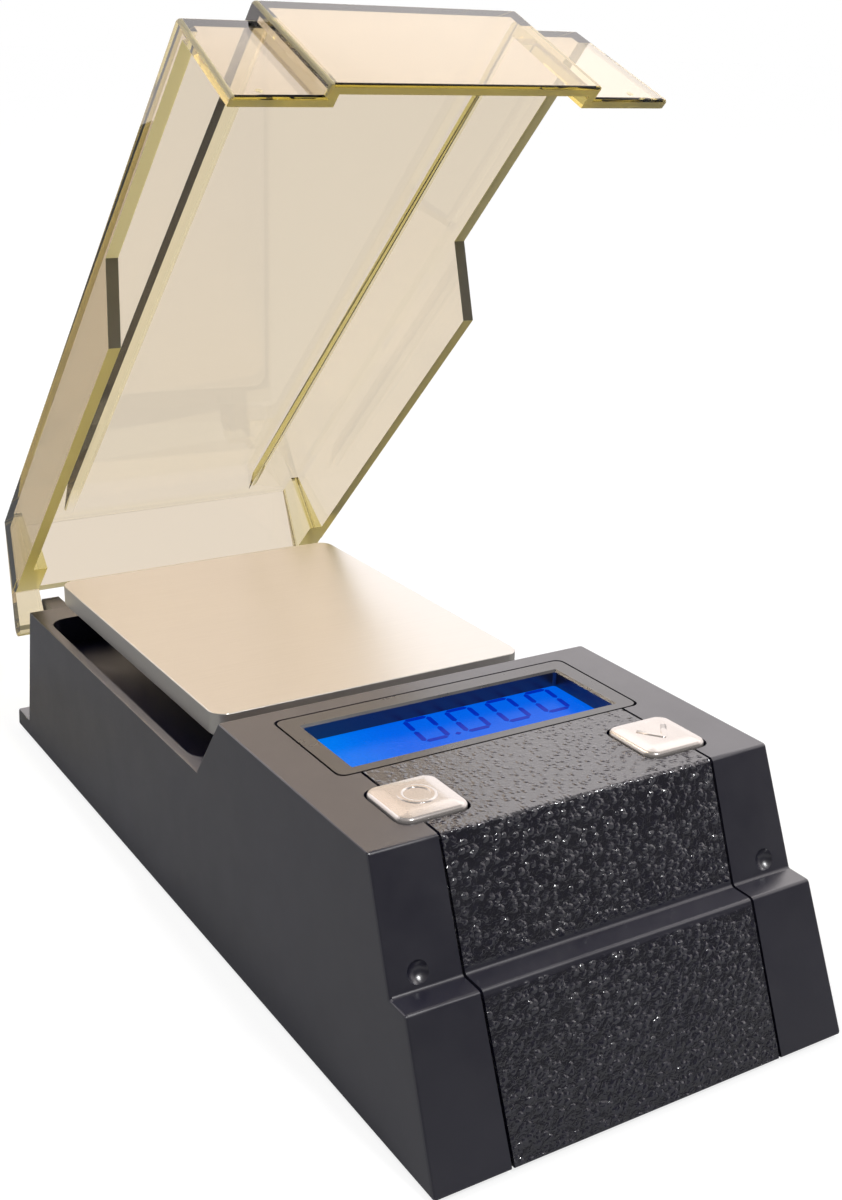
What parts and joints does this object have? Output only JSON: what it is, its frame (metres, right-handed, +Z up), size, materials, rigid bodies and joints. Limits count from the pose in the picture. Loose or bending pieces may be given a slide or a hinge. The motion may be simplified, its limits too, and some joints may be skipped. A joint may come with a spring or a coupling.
{
  "type": "pocket gram scale",
  "caption": "Pocket weighing scale with a raised display and key deck, a flat steel pan and a clear cover hinged at the rear",
  "frame": {"origin": "on the table under the feet, at the middle of the whole scale's footprint with the lid as at rest", "axes": "+Z up, +Y towards the hinge, +X to the right seen from the front"},
  "size_m": [0.0612, 0.1504, 0.1225],
  "materials": {
    "dark_plastic": "satin moulded plastic, dark warm grey",
    "black_plastic": "fine matt moulded plastic",
    "clear_amber": "clear amber plastic, polished",
    "pan_steel": "finely brushed stainless steel",
    "screw_steel": "zinc plated steel",
    "cell_aluminium": "milled aluminium",
    "spring_steel": "nickel plated spring steel",
    "display_blue": "glass over a lit blue display",
    "key_ivory": "satin moulded plastic, pale warm grey",
    "board_green": "lacquered circuit board",
    "soft_rubber": "matt black rubber",
    "white_diffuser": "milky light guide",
    "battery_jacket": "printed sleeve left plain"
  },
  "bodies": {
    "base": {"top_housing": "dark_plastic", "base_cover": "black_plastic", "load_cell": "cell_aluminium", "load_cell_screw_1": "screw_steel", "load_cell_screw_2": "screw_steel", "overload_stop_screw": "screw_steel", "main_board": "board_green", "display_bezel": "dark_plastic", "lcd_panel": "display_blue", "lcd_backlight": "white_diffuser", "lcd_connector_1": "soft_rubber", "lcd_connector_2": "soft_rubber", "left_dome": "soft_rubber", "right_dome": "soft_rubber", "battery_1": "battery_jacket", "battery_2": "battery_jacket", "battery_spring_1": "spring_steel", "battery_spring_2": "spring_steel", "battery_link": "spring_steel", "battery_contact_1": "spring_steel", "battery_contact_2": "spring_steel", "load_cell_cable": "soft_rubber", "board_screw_1": "screw_steel", "case_screw_1": "screw_steel", "foot_1": "soft_rubber", "board_screw_2": "screw_steel", "case_screw_2": "screw_steel", "foot_2": "soft_rubber", "board_screw_3": "screw_steel", "case_screw_3": "screw_steel", "foot_3": "soft_rubber", "board_screw_4": "screw_steel", "case_screw_4": "screw_steel", "foot_4": "soft_rubber"},
    "lid": {"lid": "clear_amber"},
    "left_button": {"left_button": "key_ivory"},
    "right_button": {"right_button": "key_ivory"},
    "pan": {"weighing_pan": "pan_steel", "pan_support": "black_plastic", "support_screw_1": "screw_steel", "support_screw_2": "screw_steel"},
    "battery_door": {"battery_door": "black_plastic"}
  },
  "joints": [
    {"name": "lid_hinge", "type": "hinge", "parent": "base", "child": "lid", "pos_m": [0, 0.0665, 0.02028], "axis": [-1, 0, 0], "range_deg": [-44.2, 133.7]},
    {"name": "left_button_press", "type": "slide", "parent": "base", "child": "left_button", "axis": [0, 0, -1], "range_m": [0, 0.0006], "stiffness_N_per_m": 300, "springref_m": -0.0005},
    {"name": "right_button_press", "type": "slide", "parent": "base", "child": "right_button", "axis": [0, 0, -1], "range_m": [0, 0.0006], "stiffness_N_per_m": 300, "springref_m": -0.0005},
    {"name": "pan_press", "type": "slide", "parent": "base", "child": "pan", "axis": [0, 0, -1], "range_m": [0, 0.00025], "stiffness_N_per_m": 5000, "springref_m": -0.0001},
    {"name": "battery_door_hinge", "type": "hinge", "parent": "base", "child": "battery_door", "pos_m": [0, -0.03675, 0.0017], "axis": [1, 0, 0], "range_deg": [0, 75]}
  ]
}
